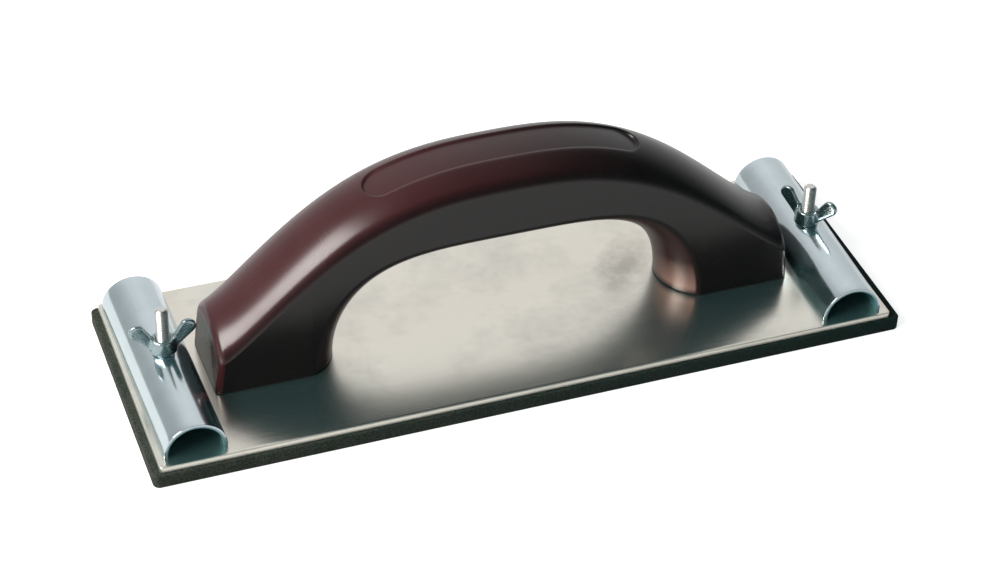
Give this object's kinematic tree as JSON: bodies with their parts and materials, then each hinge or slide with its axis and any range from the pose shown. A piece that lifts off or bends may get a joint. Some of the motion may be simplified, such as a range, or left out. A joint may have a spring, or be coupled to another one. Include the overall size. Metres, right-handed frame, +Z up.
{
  "type": "hand sander",
  "caption": "Hand sander: a flat foam-soled plate with an arched handle, and half-round end clamps under wing nuts that grip an abrasive sheet.",
  "frame": {"origin": "middle of the sole's flat underside, which lies on the work", "axes": "+X along the plate's length, +Y across it, +Z up from the sole to the handle"},
  "size_m": [0.235, 0.08, 0.0694],
  "materials": {
    "foam_rubber": "matt",
    "mill_aluminium": "satin",
    "moulded_handle": "gloss",
    "bright_zinc": "bright zinc plate",
    "plain_steel": "bright"
  },
  "bodies": {
    "base": {"sole_pad": "foam_rubber", "base_plate": "mill_aluminium", "handle": "moulded_handle", "handle_screw_1": "plain_steel", "handle_screw_2": "plain_steel", "handle_screw_3": "plain_steel", "handle_screw_4": "plain_steel", "left_bolt": "plain_steel", "right_bolt": "plain_steel", "left_lock_nut": "plain_steel", "right_lock_nut": "plain_steel"},
    "left_clamp": {"left_clamp": "bright_zinc"},
    "right_clamp": {"right_clamp": "bright_zinc"},
    "left_wing_nut": {"left_wing_nut": "bright_zinc"},
    "right_wing_nut": {"right_wing_nut": "bright_zinc"}
  },
  "joints": [
    {"name": "left_clamp_lift", "type": "slide", "parent": "base", "child": "left_clamp", "axis": [0, 0, 1], "range_m": [0, 0.0084]},
    {"name": "right_clamp_lift", "type": "slide", "parent": "base", "child": "right_clamp", "axis": [0, 0, 1], "range_m": [0, 0.0084]},
    {"name": "left_wing_nut_turn", "type": "hinge", "parent": "left_clamp", "child": "left_wing_nut", "pos_m": [-0.1034, 0, 0.0166], "axis": [0, 0, 1], "range_deg": [0, 4320]},
    {"name": "right_wing_nut_turn", "type": "hinge", "parent": "right_clamp", "child": "right_wing_nut", "pos_m": [0.1034, 0, 0.0166], "axis": [0, 0, 1], "range_deg": [0, 4320]}
  ],
  "couplings": [
    {"joint": "left_wing_nut_turn", "follows": "left_clamp_lift", "rad_per_m": 8976},
    {"joint": "right_wing_nut_turn", "follows": "right_clamp_lift", "rad_per_m": 8976}
  ]
}
